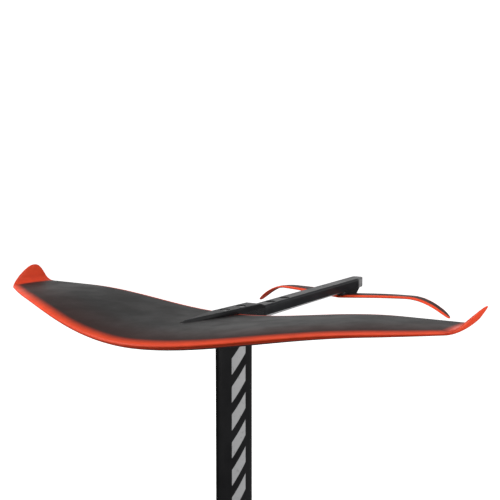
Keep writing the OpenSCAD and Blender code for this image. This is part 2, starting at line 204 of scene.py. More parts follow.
# ---------------------------------------------------------------- node helpers
class Shade:
    """A short way to write a node material."""

    def __init__(self, name):
        self.mat = bpy.data.materials.new(name)
        self.mat.use_nodes = True
        self.nt = self.mat.node_tree
        self.bsdf = self.nt.nodes["Principled BSDF"]
        self.co = self.nt.nodes.new("ShaderNodeTexCoord").outputs["Object"]

    def node(self, kind, ins=(), **props):
        n = self.nt.nodes.new("ShaderNode" + kind)
        for k, v in props.items():
            setattr(n, k, v)
        for k, v in dict(ins).items():
            self.feed(n.inputs[k], v)
        return n

    def feed(self, socket, v):
        if isinstance(v, bpy.types.NodeSocket):
            self.nt.links.new(v, socket)
        else:
            socket.default_value = v

    def math(self, op, a, b=0.0):
        n = self.node("Math", operation=op)
        self.feed(n.inputs[0], a)
        self.feed(n.inputs[1], b)
        return n.outputs[0]

    def add(self, a, b):
        return self.math("ADD", a, b)

    def sub(self, a, b):
        return self.math("SUBTRACT", a, b)

    def mul(self, a, b):
        return self.math("MULTIPLY", a, b)

    def max(self, a, b):
        return self.math("MAXIMUM", a, b)

    def radius(self, x, y):
        return self.math("SQRT", self.add(self.math("POWER", x, 2.0), self.math("POWER", y, 2.0)))

    def noise(self, scale, detail=4.0, rough=0.55, stretch=None, distortion=0.0):
        co = self.co
        if stretch:
            co = self.node("Mapping", {"Vector": co, "Scale": stretch}).outputs[0]
        n = self.node("TexNoise", {"Vector": co, "Scale": scale, "Detail": detail,
                                   "Roughness": rough, "Distortion": distortion})
        return n.outputs["Fac"]

    def span(self, v, a, b, lo=0.0, hi=1.0):
        """Eases from lo to hi while v goes from a to b."""
        n = self.node("MapRange", {"Value": v, "From Min": a, "From Max": b, "To Min": lo, "To Max": hi},
                      interpolation_type="SMOOTHSTEP", clamp=True)
        return n.outputs["Result"]

    def mix(self, fac, a, b):
        n = self.node("Mix", data_type="RGBA")
        self.feed(n.inputs[0], fac)
        self.feed(n.inputs[6], a)
        self.feed(n.inputs[7], b)
        return n.outputs[2]

    def field(self, name):
        return self.node("Attribute", attribute_name=name, attribute_type="GEOMETRY").outputs["Fac"]

    def xyz(self, vector=None):
        out = self.node("SeparateXYZ", {"Vector": vector or self.co}).outputs
        return out["X"], out["Y"], out["Z"]

    def bump(self, height, strength, dist):
        n = self.node("Bump", {"Height": height, "Strength": strength, "Distance": dist})
        self.nt.links.new(n.outputs[0], self.bsdf.inputs["Normal"])

    def set(self, **k):
        for name, v in k.items():
            self.feed(self.bsdf.inputs[name.replace("_", " ")], v)


def rgb(r, g, b):
    return (r, g, b, 1.0)


BLACK_PAINT = rgb(0.0062, 0.0056, 0.0053)
BLACK_LIGHT = rgb(0.0110, 0.0098, 0.0090)
ORANGE = rgb(0.80, 0.068, 0.018)
ORANGE_DEEP = rgb(0.50, 0.034, 0.011)


# ---------------------------------------------------------------- materials
def wing_paint(name, band_mm, soft_mm, root_mm=280.0, top=True, winglets=True):
    """Satin black with an airbrushed orange leading edge, a thin orange trailing edge and orange
    winglets. The mesh carries its own distances: from_lead, from_trail and path, in millimetres.
    band_mm is the leading band's width and soft_mm its fade; up to about root_mm from the centre
    the trailing edge is orange too."""
    s = Shade(name)
    lead, trail, path = (s.field(f) for f in PAINT_FIELDS)
    drift = s.noise(9.0, 2.0)
    speck = s.noise(900.0, 2.0, 0.7)
    grain = s.noise(240.0, 3.0, 0.6)
    # distance that the spray drifts and its fine edge of droplets
    wander = s.mul(s.sub(drift, 0.5), 5.0 if top else 0.8)
    dots = s.mul(s.sub(speck, 0.5), 3.0 if top else 0.5)
    reach = s.add(s.add(lead, wander), dots)
    edge = s.span(reach, band_mm - soft_mm, band_mm + soft_mm, 1.0, 0.0)
    # painted shade: the winglets take a deeper orange, far more on the upper skin, whose winglet faces look
    # inboard, than on the lower
    deep = s.span(path, 384.0, 396.0, 0.0, 0.55 if top else 0.15)
    if top:
        # round the leading edge, where the distance turns negative, the band fades out as well
        edge = s.mul(edge, s.span(reach, -30.0, -14.0))
        back = s.mul(s.span(s.add(trail, dots), 0.6, 6.5, 1.0, 0.0),
                     s.span(path, root_mm * 0.75, root_mm * 1.15, 0.85, 0.0))
    else:
        back = s.span(trail, 1.0, 2.2, 0.8, 0.0)
    paint = s.max(edge, back)
    if winglets:
        paint = s.max(paint, s.span(s.add(path, s.mul(wander, 0.6)), 380.0, 398.0))
    mottle = s.span(s.noise(14.0, 5.0, 0.6, (0.35, 1.0, 1.0)), 0.35, 0.75)
    mottled = s.mix(mottle, BLACK_PAINT, BLACK_LIGHT)
    warm = s.mix(s.add(s.span(s.noise(30.0, 3.0), 0.3, 0.7, 0.0, 0.3), deep), ORANGE, ORANGE_DEEP)
    # a thin haze of overspray reaches far past the fade
    haze = s.mul(s.span(lead, 8.0, 110.0, 0.020, 0.0), s.span(drift, 0.3, 0.7, 0.7, 1.2))
    base = s.mix(s.max(paint, haze), mottled, warm)
    # light handling marks: short fine scratches that run roughly along the chord
    lines = s.noise(60.0, 6.0, 0.75, (0.25, 14.0, 4.0))
    mark = s.span(lines, 0.70, 0.78, 0.0, 0.35)
    rough = s.add(s.span(s.noise(22.0, 4.0, 0.6), 0.3, 0.7, 0.50, 0.58), s.mul(mark, 0.12))
    s.set(Base_Color=s.mix(s.mul(mark, 0.25), base, rgb(0.30, 0.29, 0.28)),
          Roughness=s.sub(rough, s.mul(paint, 0.08)), Specular_IOR_Level=0.16)
    s.bump(s.add(s.mul(grain, 0.6), s.mul(lines, 0.5)), 0.06, 0.0004)
    return s.mat


def anodising(s, base, light, grain):
    """What dark anodised aluminium shares: milled lines, a mottled tone and small scuffs."""
    lines = s.noise(55.0, 5.0, 0.7, (0.05, grain, grain))
    blotch = s.noise(18.0, 4.0, 0.6)
    tone = s.mix(s.span(blotch, 0.3, 0.7), base, light)
    scuff = s.mul(s.span(s.noise(90.0, 6.0, 0.8), 0.66, 0.76, 0.0, 0.3), s.span(lines, 0.45, 0.6))
    s.bump(s.add(lines, s.mul(s.noise(900.0, 2.0), 0.4)), 0.06, 0.0003)
    return lines, blotch, tone, scuff


def plate_finish(name, base, light):
    s = Shade(name)
    lines, blotch, tone, scuff = anodising(s, base, light, 26.0)
    s.set(Base_Color=s.mix(scuff, tone, rgb(0.16, 0.16, 0.165)),
          Roughness=s.add(s.span(blotch, 0.25, 0.75, 0.34, 0.44), s.mul(lines, 0.10)),
          Specular_IOR_Level=0.4)
    return s.mat


def bar_finish(name, base, light, tail_x, holes_x):
    """The bar's anodising, with a painted highlight on the tail's end wall and along the lower
    edges, and painted shade in the spare holes. Places are in metres."""
    s = Shade(name)
    x, y, z = s.xyz()
    lines, blotch, tone, scuff = anodising(s, base, light, 30.0)
    normal_z = s.xyz(s.node("NewGeometry").outputs["Normal"])[2]
    # painted highlight: the tail's end wall, where it stands upright, is paler
    upright = s.span(s.math("ABSOLUTE", normal_z), 0.55, 0.9, 0.55, 0.0)
    end = s.mul(upright, s.span(x, tail_x + 0.022, tail_x + 0.031, 1.0, 0.0))
    # painted highlight: a pale strip along the bar's lower edges, broken up by noise
    low = s.span(z, FUSE_Z + 0.0030, FUSE_Z + 0.0042, 1.0, 0.0)
    edge = s.mul(low, s.span(s.math("ABSOLUTE", y), 0.0112, 0.0120))
    edge = s.mul(edge, s.span(s.noise(40.0, 4.0, 0.6, (0.3, 1.0, 1.0)), 0.25, 0.5, 0.45, 1.0))
    # the painted highlight along the lower edges runs from ahead of the rear wing to just behind the nose
    # block
    edge = s.mul(edge, s.span(x, -0.36, -0.30))
    edge = s.mul(edge, s.span(x, -0.08, -0.076, 1.0, 0.0))
    # painted shade: the spare holes are darkened to near black and made rougher
    well = 0.0
    for hole_x in holes_x:
        r = s.radius(s.sub(x, hole_x), y)
        well = s.max(well, s.span(r, 0.0078, 0.0083, 1.0, 0.0))
    # the painted highlights on the end wall and lower edges take the same pale colour as the real scuffs
    pale = s.mix(s.max(edge, s.max(end, scuff)), tone, rgb(0.42, 0.42, 0.425))
    s.set(Base_Color=s.mix(well, pale, rgb(0.0015, 0.0015, 0.0016)),
          Roughness=s.add(s.span(blotch, 0.25, 0.75, 0.30, 0.38),
                          s.add(s.mul(lines, 0.10), s.mul(well, 0.35))),
          Specular_IOR_Level=0.3)
    return s.mat


def metal(name, colour, dark, rough, scale=160.0, stretch=(1.0, 1.0, 1.0)):
    """Bare metal: stainless, brass or raw aluminium with turning marks and faint staining."""
    s = Shade(name)
    lines = s.noise(scale, 4.0, 0.65, stretch)
    stain = s.noise(45.0, 5.0, 0.6)
    s.set(Base_Color=s.mix(s.span(stain, 0.35, 0.8), colour, dark),
          Roughness=s.add(s.span(stain, 0.3, 0.7, *rough), s.mul(lines, 0.12)), Metallic=1.0)
    s.bump(lines, 0.08, 0.0002)
    return s.mat


def plastic(name, base, light, rough, pebble, bump, spec=0.3):
    """Black with a fine, even grain, as on the nose block and the moulded pad."""
    s = Shade(name)
    fine = s.noise(pebble, 3.0, 0.6)
    blotch = s.noise(35.0, 3.0)
    s.set(Base_Color=s.mix(s.span(blotch, 0.3, 0.7), base, light),
          Roughness=s.span(s.add(s.mul(fine, 0.5), s.mul(blotch, 0.5)), 0.3, 0.7, *rough),
          Specular_IOR_Level=spec)
    s.bump(fine, bump, 0.0003)
    return s.mat


def core_wood(name):
    """Light paulownia core: long growth lines along the span and pores between them."""
    s = Shade(name)
    grain = s.noise(38.0, 6.0, 0.65, (9.0, 0.5, 9.0), 1.2)
    pore = s.noise(420.0, 3.0, 0.6, (3.0, 0.3, 3.0))
    tone = s.mix(s.span(grain, 0.35, 0.65), rgb(0.62, 0.47, 0.30), rgb(0.42, 0.28, 0.15))
    s.set(Base_Color=s.mix(s.span(pore, 0.62, 0.75, 0.0, 0.5), tone, rgb(0.20, 0.12, 0.06)),
          Roughness=s.span(grain, 0.3, 0.7, 0.62, 0.80))
    s.bump(s.add(grain, pore), 0.3, 0.0004)
    return s.mat


def laminate(name):
    """Solid carbon laminate: plies seen as fine layers, and a crossed weave."""
    s = Shade(name)
    plies = s.node("TexWave", {"Vector": s.co, "Scale": 320.0, "Distortion": 1.5, "Detail": 2.0},
                   bands_direction="Z").outputs["Fac"]
    warp, weft = (s.node("TexWave", {"Vector": s.co, "Scale": 180.0}, bands_direction=d).outputs["Fac"]
                  for d in "XY")
    weave = s.mul(warp, weft)
    s.set(Base_Color=s.mix(s.mul(weave, 0.7), rgb(0.030, 0.032, 0.034), rgb(0.085, 0.088, 0.09)),
          Roughness=s.span(plies, 0.0, 1.0, 0.30, 0.46))
    s.bump(s.add(plies, weave), 0.15, 0.0003)
    return s.mat


def mast_finish(name, half_width, low, high):
    """Satin black extrusion with a generic printed ladder of slanted bars up each side, half_width
    metres to either side of its middle and from height low to high."""
    pitch, slant = 0.046, 0.30
    s = Shade(name)
    x, _, z = s.xyz()
    lines = s.noise(48.0, 5.0, 0.7, (24.0, 24.0, 0.04))
    blotch = s.noise(16.0, 4.0, 0.6)
    tone = s.mix(s.span(blotch, 0.3, 0.7), rgb(0.0095, 0.0095, 0.0102), rgb(0.0140, 0.0140, 0.0148))
    # bars: a slanted stripe repeated up the mast, kept inside a strip along the chord
    across = s.math("DIVIDE", x, half_width)
    strip = s.span(s.math("ABSOLUTE", across), 0.97, 1.0, 1.0, 0.0)
    phase = s.math("FRACT", s.add(s.math("DIVIDE", z, pitch), s.mul(across, slant)))
    bar = s.mul(s.span(phase, 0.02, 0.045), s.span(phase, 0.60, 0.625, 1.0, 0.0))
    ends = s.mul(s.span(z, low, low + 0.002), s.span(z, high - 0.002, high, 1.0, 0.0))
    worn = s.span(s.noise(150.0, 5.0, 0.7), 0.30, 0.42, 0.55, 1.0)
    ink = s.mul(s.mul(strip, bar), s.mul(ends, worn))
    s.set(Base_Color=s.mix(ink, tone, rgb(0.40, 0.40, 0.405)),
          Roughness=s.add(s.span(blotch, 0.25, 0.75, 0.34, 0.46),
                          s.add(s.mul(lines, 0.08), s.mul(ink, 0.14))),
          Specular_IOR_Level=0.05)
    s.bump(s.add(s.mul(lines, 0.8), s.mul(ink, 0.5)), 0.08, 0.0003)
    return s.mat


def floor_paint(name):
    """A pale floor. It looks lit to the camera, and throws little light back up at the object."""
    s = Shade(name)
    direct = s.node("LightPath").outputs["Is Camera Ray"]
    pale = s.mix(s.span(s.noise(0.7, 3.0), 0.3, 0.7), rgb(0.90, 0.90, 0.90), rgb(0.93, 0.93, 0.93))
    x, y, _ = s.xyz()
    glow = s.span(s.radius(x, y), 0.4, 2.4, 0.25, 1.0)
    s.set(Base_Color=s.mix(direct, rgb(0.18, 0.18, 0.18), pale),
          Roughness=s.span(s.noise(3.0, 3.0), 0.3, 0.7, 0.75, 0.9), Specular_IOR_Level=0.1,
          Emission_Color=(1, 1, 1, 1), Emission_Strength=s.mul(glow, direct))
    return s.mat


# ---------------------------------------------------------------- front wing
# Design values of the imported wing. The wing is a section swept along a path: flat from the root,
# then a bend, then the straight winglet.
LEAD_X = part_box("wing_upper_skin")[1].x / MM
HALF_SPAN = 420.0
SWEEP, SWEEP_POWER, SWEEP_Y = 193.0, 1.71, 402.0
TRAIL_X, TRAIL_TAPER = 6.6, 2.8
ROOT_T, THICK_POWER, EDGE_T, CAMBER, DIHEDRAL = 23.0, 1.08, 0.5, 1.75, 24.2
# how high the leading and trailing edge lie at the root, how far they rise, and by which span share
LEAD_Z, LEAD_RISE, LEAD_SHARE = 16.9, DIHEDRAL + 0.5, 0.75
TRAIL_Z, TRAIL_RISE, TRAIL_SHARE = 17.8, DIHEDRAL - 0.6, 0.73
BEND_R, BEND, WINGLET_L = 21.3, math.radians(55.0), 23.3
# how the winglet's edges rake back, and how they round off at the top
LEAD_RAKE, RAKE_POWER, LEAD_ROUND, LEAD_ROUND_POWER = 21, 1.47, 24, 0.48
TRAIL_KICK, KICK_LENGTH, TRAIL_RAKE, TRAIL_ROUND, TRAIL_ROUND_POWER = 3.9, 18.8, 7.3, 24.8, 0.32
SKIN_T, CORE_END = 1.5, 384.0
INNER_FROM, INNER_TO = 0.012, 0.985   # chord shares between which a skin has an inner surface
ARC = BEND_R * BEND
PATH_FLAT = HALF_SPAN - BEND_R * math.sin(BEND) - WINGLET_L * math.cos(BEND)
PATH_TIP = ARC + WINGLET_L
ROOT_CHORD = LEAD_X - TRAIL_X


def ease(t):
    return np.sin(np.pi / 2 * np.clip(t, 0, 1)) ** 2


def cosine(n):
    """n + 1 values from 0 to 1, closer together at both ends."""
    return (1 - np.cos(np.pi * np.arange(n + 1) / n)) / 2


def naca(t):
    """Half thickness of a NACA four-digit section with a closed tail, 1 at its thickest."""
    return (0.2969 * np.sqrt(t) - 0.126 * t - 0.3516 * t**2 + 0.2843 * t**3 - 0.1036 * t**4) / 0.1


def run_along(points):
    """Length run along each row of points, from its start."""
    step = np.linalg.norm(np.diff(points, axis=1), axis=2)
    return np.concatenate([np.zeros((len(points), 1)), np.cumsum(step, 1)], 1)


def wing_tip(p):
    return np.clip((p - PATH_FLAT) / PATH_TIP, 0, 1)


def wing_lead(p):
    tip = wing_tip(p)
    return (LEAD_X - SWEEP * (p / SWEEP_Y) ** SWEEP_POWER - LEAD_RAKE * tip**RAKE_POWER
            - LEAD_ROUND * (1 - (1 - tip**2) ** LEAD_ROUND_POWER))


def wing_trail(p):
    tip = wing_tip(p)
    return (TRAIL_X - TRAIL_TAPER * (np.minimum(p, PATH_FLAT) / PATH_FLAT) ** 2
            - TRAIL_KICK * ease((p - PATH_FLAT) / KICK_LENGTH + 0.5) - TRAIL_RAKE * tip**2
            + TRAIL_ROUND * (1 - (1 - tip**2) ** TRAIL_ROUND_POWER))


def wing_chord(p):
    return wing_lead(p) - wing_trail(p)


def wing_thick(p):
    return ROOT_T * (wing_chord(p) / ROOT_CHORD) ** THICK_POWER


def wing_point(q, t, face, share=1.0):
    """Points of the front wing in metres: q is the signed path length, t the chord share, face 1
    for the upper surface or -1 for the lower, and share how much of the section's half thickness
    they stand off the camber line."""
    p, side = np.abs(q), np.where(q < 0, -1.0, 1.0)
    a = np.clip((p - PATH_FLAT) / BEND_R, 0, BEND)
    beyond = np.maximum(p - PATH_FLAT - ARC, 0)
    y = np.minimum(p, PATH_FLAT) + BEND_R * np.sin(a) + beyond * math.cos(BEND)
    up = BEND_R * (1 - np.cos(a)) + beyond * math.sin(BEND)
    lz = LEAD_Z + LEAD_RISE * ease(p / SWEEP_Y / LEAD_SHARE) + up
    tz = TRAIL_Z + TRAIL_RISE * ease(p / SWEEP_Y / TRAIL_SHARE) + up
    chord = wing_chord(p)
    n = (-CAMBER * chord / ROOT_CHORD * 4 * t * (1 - t)
         + face * share * (wing_thick(p) / 2 * naca(t) + EDGE_T * t))
    return np.stack([wing_lead(p) - chord * t, side * (y - np.sin(a) * n),
                     lz + (tz - lz) * t + np.cos(a) * n], -1) * MM + np.array([0, 0, FUSE_Z])


def wing_skin(name, face):
    """One skin: its outer surface from nose to tail, and back along its inner one."""
    flat = np.linspace(0, 1, 96) * CORE_END
    bend = PATH_FLAT + PATH_TIP * np.sin(np.linspace(0, np.pi / 2 * 0.985, 40))
    half = np.unique(np.round(np.concatenate([flat, np.linspace(CORE_END, PATH_FLAT, 6)[1:-1], bend]), 4))
    q = np.concatenate([-half[:0:-1], half])
    t = cosine(56)
    inner = t[(t > INNER_FROM) & (t < INNER_TO)][::-1]
    outer = wing_point(*np.meshgrid(q, t, indexing="ij"), face)
    Q, T = np.meshgrid(q, inner, indexing="ij")
    p = np.abs(Q)
    share = np.where(p > CORE_END, 0.0, 1 - 2 * SKIN_T / np.maximum(wing_thick(p), 3 * SKIN_T))
    rings = np.concatenate([outer, wing_point(Q, T, face, share)], 1)
    rows, cols = rings.shape[:2]
    ob = mesh_from(name, rings.reshape(-1, 3), ring_faces(rows, cols, True), None)
    run = run_along(outer) / MM
    pad = np.full((rows, len(inner)), BARE)
    point_field(ob.data, "from_lead", np.concatenate([run, pad], 1).ravel())
    point_field(ob.data, "from_trail", np.concatenate([run[:, -1:] - run, pad], 1).ravel())
    point_field(ob.data, "path", np.repeat(np.abs(q), cols))
    return ob


NOSE_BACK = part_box("fuselage_nose")[0].x / MM
NOSE_FLOOR = (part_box("fuselage_nose")[0].z - FUSE_Z) / MM
NOSE_SHOULDER, NOSE_TIP = 62, 152
BAR_HALF = (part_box("fuselage_bar")[1].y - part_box("fuselage_bar")[0].y) / MM / 2
BAR_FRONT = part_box("fuselage_bar")[1].x / MM
PLAY = 0.2
WING_SCREW_XS, WING_HEAD_R, WING_HEAD_TOP = (80, 106, 131), 6.5, 0.0065
REAR_SCREW_XS, REAR_HEAD_R, REAR_HEAD_TOP = (-391, -415), 5.8, -0.0098
HEAD_DEPTH = 0.03                     # a counterbore's cutter starts this far under the fuselage


def nose_plan(back):
    """Plan of the nose block's foot, narrowing from its shoulder to the tip."""
    n, side = 40, []
    for i in range(n + 1):
        s = math.sin(math.pi / 2 * i / n)
        side.append((NOSE_SHOULDER + (NOSE_TIP - NOSE_SHOULDER) * s, BAR_HALF * (1 - s**1.5) ** 0.715))
    pts = [(back, -BAR_HALF)] + [(x, -y) for x, y in side] + [(x, y) for x, y in side[-2::-1]]
    return [(x * MM, y * MM) for x, y in pts + [(back, BAR_HALF)]]


def slot_cutters():
    """The space that the bar and the nose block take out of the wing."""
    w, front, back, past = (BAR_HALF + PLAY) * MM, (BAR_FRONT + PLAY) * MM, -0.09, FUSE_Z + 0.1
    box = prism("bar space", [(back, -w), (front, -w), (front, w), (back, w)], FUSE_Z - 0.05, past)
    return [box, prism("nose space", nose_plan(40), FUSE_Z + NOSE_FLOOR * MM, past)]


def clear_slot_paint(ob):
    """Makes the skin bare again beside the slot, where the cut took on the paint distances of the
    wing's edges, which would show as orange specks. Only the wing's own edges keep their paint."""
    near, edge_mm = 0.03, 20
    lead_from, trail_to = (LEAD_X - 40) * MM, (TRAIL_X + 30) * MM
    lead, trail = (ob.data.attributes[f].data for f in PAINT_FIELDS[:2])
    for v in ob.data.vertices:
        if abs(v.co.y) < near and v.co.x < lead_from and lead[v.index].value < edge_mm:
            lead[v.index].value = BARE
        if abs(v.co.y) < near and v.co.x > trail_to and trail[v.index].value < edge_mm:
            trail[v.index].value = BARE


upper = wing_skin("wing_upper_skin.paint", 1)
cut(upper, slot_cutters())
lower = wing_skin("wing_lower_skin.paint", -1)
cut(lower, slot_cutters() + [disc_cutter(x, WING_HEAD_R, FUSE_Z - HEAD_DEPTH, FUSE_Z + WING_HEAD_TOP)
                             for x in WING_SCREW_XS])
for ob in (upper, lower):
    resharpen(ob, 38)
    clear_slot_paint(ob)
put(upper, wing_paint("wing paint, upper face", 11.5, 11.0), "wing_paint", "wing_upper_skin")
put(lower, wing_paint("wing paint, lower face", 6.5, 2.5, top=False), "wing_paint", "wing_lower_skin")

# ---------------------------------------------------------------- rear wing
REAR_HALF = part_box("rear_wing")[1].y / MM
REAR_LEAD, REAR_TRAIL = 370.0, 434.0
REAR_SWEEP, REAR_POWER, TRAIL_SWEEP = 45.0, 1.73, 7
REAR_T, REAR_T_POWER, REAR_EDGE_T = 6.2, 0.8, 0.4
REAR_Z, REAR_ARCH, REAR_LIFT, REAR_TILT = -7.9, 4.5, 3.3, 1.6
REAR_DROP, SHOULDER, DROP_SPAN = 33.0, 0.63, 0.37
# rounded tip: where it begins, how long it is, how far it closes, and what it takes off each edge
CAP_FROM, CAP_SPAN, CAP_DEPTH, CAP_LEAD, CAP_TRAIL = 0.92, 0.08, 0.995, 6.6, 10.2


def rear_wing_mesh(name):
    even = np.linspace(0, 1, 70)
    half = np.sin(np.pi / 2 * even / 1.02) * 0.5 + even * 0.5
    u = np.concatenate([-half[:0:-1], half])
    U, C = np.meshgrid(u, cosine(40), indexing="ij")
    T = np.abs(U)
    cap = 1 - np.sqrt(1 - CAP_DEPTH * np.clip((T - CAP_FROM) / CAP_SPAN, 0, 1) ** 2)
    le = -REAR_LEAD - REAR_SWEEP * T**REAR_POWER - CAP_LEAD * cap
    te = -REAR_TRAIL - TRAIL_SWEEP * T**2 + CAP_TRAIL * cap
    h = (REAR_Z + REAR_ARCH * np.sin(np.pi * T) + REAR_LIFT * T**2 - REAR_TILT * C
         - REAR_DROP * np.clip((T - SHOULDER) / DROP_SPAN, 0, 1) ** 2)
    half_t = (REAR_T / 2 * ((le - te) / (REAR_TRAIL - REAR_LEAD)) ** REAR_T_POWER * naca(C)
              + REAR_EDGE_T * C)
    x = le - (le - te) * C
    top = np.stack([x, U * REAR_HALF, h + half_t], -1)
    low = np.stack([x, U * REAR_HALF, h - half_t], -1)
    rings = np.concatenate([top, low[:, :0:-1]], 1)
    rows, cols = rings.shape[:2]
    verts = rings.reshape(-1, 3) * MM + np.array([0, 0, FUSE_Z])
    ob = mesh_from(name, verts, ring_faces(rows, cols, True), 50)
    # under the wing, the distance from the leading edge counts as negative
    run_t, run_l = run_along(top), run_along(low)
    point_field(ob.data, "from_lead", np.concatenate([run_t, -run_l[:, :0:-1]], 1).ravel())
    point_field(ob.data, "from_trail", np.concatenate([run_t[:, -1:] - run_t,
                                                       run_l[:, -1:] - run_l[:, :0:-1]], 1).ravel())
    point_field(ob.data, "path", np.repeat(np.abs(u) * REAR_HALF, cols))
    return ob


rear = rear_wing_mesh("rear_wing.paint")
cut(rear, [disc_cutter(x, REAR_HEAD_R, FUSE_Z - HEAD_DEPTH, FUSE_Z + REAR_HEAD_TOP) for x in REAR_SCREW_XS])
resharpen(rear, 50)
put(rear, wing_paint("rear wing paint", 10.0, 3.5, 190.0, winglets=False), "rear_wing_paint", "rear_wing")

# ---------------------------------------------------------------- mast
MAST_C = (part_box("mast")[1].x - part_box("mast")[0].x) / MM
MAST_T = (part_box("mast")[1].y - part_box("mast")[0].y) / MM
MAST_WALL = 2.5
MAST_PEAK = 0.4312                    # greatest value of the section's formula, at 2/5 of the chord
NOSE_EDGE, TAIL_EDGE = 0.02, 0.25     # least half thickness at the section's two ends


def mast_half(t):
    return MAST_T / 2 * np.sqrt(t) * (1 - t) ** 0.75 / MAST_PEAK


def mast_ring(z, inset=0.0):
    """The section's outline at height z. An inset one lies inside the wall, short of both ends."""
    first, last = (0.03, 0.9) if inset else (0.0, 1.0)
    t = first + (last - first) * cosine(64)
    y = np.maximum(mast_half(t) - inset, NOSE_EDGE if inset else TAIL_EDGE)
    if not inset:
        y[0] = NOSE_EDGE
    x = MAST_C * (0.5 - t)
    return ([(a * MM, b * MM, z) for a, b in zip(x, y)]
            + [(a * MM, -b * MM, z) for a, b in zip(x[::-1], y[::-1])])


def mast_mesh(name):
    """The extrusion: up its outer wall, over the top edge, down the hollow and back round."""
    rings = [mast_ring(z) for z in np.linspace(PLATE_TOP, FUSE_Z, 30)]
    rings += [mast_ring(z, MAST_WALL) for z in (FUSE_Z, PLATE_TOP)]
    n = len(rings[0])
    last = (len(rings) - 1) * n
    foot = [(last + i, last + (i + 1) % n, (i + 1) % n, i) for i in range(n)]
    return mesh_from(name, [p for r in rings for p in r], ring_faces(len(rings), n) + foot, 40)


put(mast_mesh("mast.extrusion"), mast_finish("mast finish", 0.0225, PLATE_TOP + 0.12, FUSE_Z - 0.035),
    "mast_anodised", "mast")

# ---------------------------------------------------------------- machined and moulded parts
SPARE_HOLE_XS = (-0.115, -0.163)
bar_mat = bar_finish("bar anodised", rgb(0.008, 0.0082, 0.0095), rgb(0.014, 0.0144, 0.016),
                     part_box("fuselage_bar")[0].x, SPARE_HOLE_XS)
plate_mat = plate_finish("plate anodised", rgb(0.016, 0.017, 0.019), rgb(0.028, 0.029, 0.031))
nose_mat = plastic("nose block", rgb(0.006, 0.006, 0.007), rgb(0.010, 0.010, 0.011), (0.40, 0.50),
                   620.0, 0.12, 0.15)
grip_mat = plastic("nose grip", rgb(0.014, 0.014, 0.015), rgb(0.024, 0.024, 0.025), (0.36, 0.46),
                   620.0, 0.12)
pad_mat = plastic("pad moulding", rgb(0.007, 0.007, 0.008), rgb(0.013, 0.013, 0.014), (0.50, 0.64),
                  420.0, 0.22)
steel = metal("stainless", rgb(0.56, 0.56, 0.55), rgb(0.38, 0.38, 0.38), (0.22, 0.36))
brass = metal("brass", rgb(0.72, 0.50, 0.20), rgb(0.48, 0.32, 0.13), (0.24, 0.40))
raw_al = metal("raw aluminium", rgb(0.72, 0.73, 0.74), rgb(0.52, 0.53, 0.55), (0.28, 0.42), 90.0, (1, 1, 14))

put(refine("fuselage_bar", "fuselage_bar.milled", 0.45), bar_mat, "bar_anodised", "fuselage_bar")
put(refine("fuselage_nose", "fuselage_nose.moulded", 0.5, 3, 20), nose_mat, "nose_black", "fuselage_nose")


def grip(name, x0, x1, z0, z1, pitch, high):
    """Rows of small raised pyramids on both cheeks of the nose block."""
    foot, sunk = pitch * 0.62, 0.05
    verts, faces = [], []
    for side in (-1, 1):
        for row in range(int((z1 - z0) / pitch) + 1):
            z = z0 + row * pitch
            for k in range(int((x1 - x0) / (2 * pitch))):
                x = x0 + (2 * k + row % 2 + 0.5) * pitch
                a = len(verts)
                for dx, dz in ((-1, 0), (0, -1), (1, 0), (0, 1)):
                    verts.append((x + dx * foot, side * (BAR_HALF - sunk), z + dz * foot))
                verts.append((x, side * (BAR_HALF + high), z))
                faces += [(a + i, a + (i + 1) % 4, a + 4) for i in range(4)] + [(a, a + 3, a + 2, a + 1)]
    verts = [(x * MM, y * MM, FUSE_Z + z * MM) for x, y, z in verts]
    return mesh_from(name, verts, faces, 10)


put(grip("fuselage_nose.grip", NOSE_BACK + 2.5, TRAIL_X - 2, 2.4, 18.4, 1.6, 0.4), grip_mat, "nose_black")
put(refine("base_plate", "base_plate.milled", 0.8, 3), plate_mat, "plate_anodised", "base_plate")
put(refine("mast_collar", "mast_collar.cast", 1.2, 3), plate_mat, "plate_anodised", "mast_collar")
put(refine("rear_wing_pad", "rear_wing_pad.moulded", 0.5), pad_mat, "pad_plastic", "rear_wing_pad")
put(refine("base_insert", "base_insert.raw", 0.3), raw_al, "raw_aluminium", "base_insert")
put(refine("top_insert", "top_insert.raw", 0.3), raw_al, "raw_aluminium", "top_insert")
put(refine("wing_root_block", "wing_root_block.laminate", 0), laminate("root laminate"),
    "solid_laminate", "wing_root_block")
put(refine("wing_core", "wing_core.wood", 0, dissolve=0.2), core_wood("paulownia core"),
    "core_wood", "wing_core")

# ---------------------------------------------------------------- screws and inserts
SOCKET_LOBES = {1: 0.14, 2: 0.14, 3: 0.14, 4: 0.06}


def threaded(prof, d, h, pitch, length, spare, point):
    """Goes on from a screw's head: a rolled thread from height h down, spare millimetres short of
    the end, and a tip that is narrower by point."""
    r = d / 2
    while h - pitch > -length + spare:
        prof = prof + [(r, h), (r, h - pitch * 0.12), (r - pitch * 0.5, h - pitch * 0.5),
                       (r - pitch * 0.5, h - pitch * 0.6)]
        h -= pitch
    return prof + [(r - 0.1, h), (r - point, -length), (0, -length)]


def flat_screw(at, d, length, head, up, pitch):
    """Countersunk screw: six-lobed socket, broken head edge, relief and rolled thread."""
    s, rim, neck = d * 0.30, head / 2, (head - d) / 2
    prof = [(0, -d * 0.42), (s * 0.9, -d * 0.40), (s, -d * 0.38), (s, -0.35), (s * 1.14, -0.02),
            (rim - 0.35, 0), (rim, -0.18), (rim, -0.4), (d / 2 + 0.15, -0.35 - neck), (d / 2, -0.7 - neck)]
    return revolve("s", threaded(prof, d, -neck - 2.0, pitch, length, 0.8, 0.8), at, up, 60, SOCKET_LOBES)


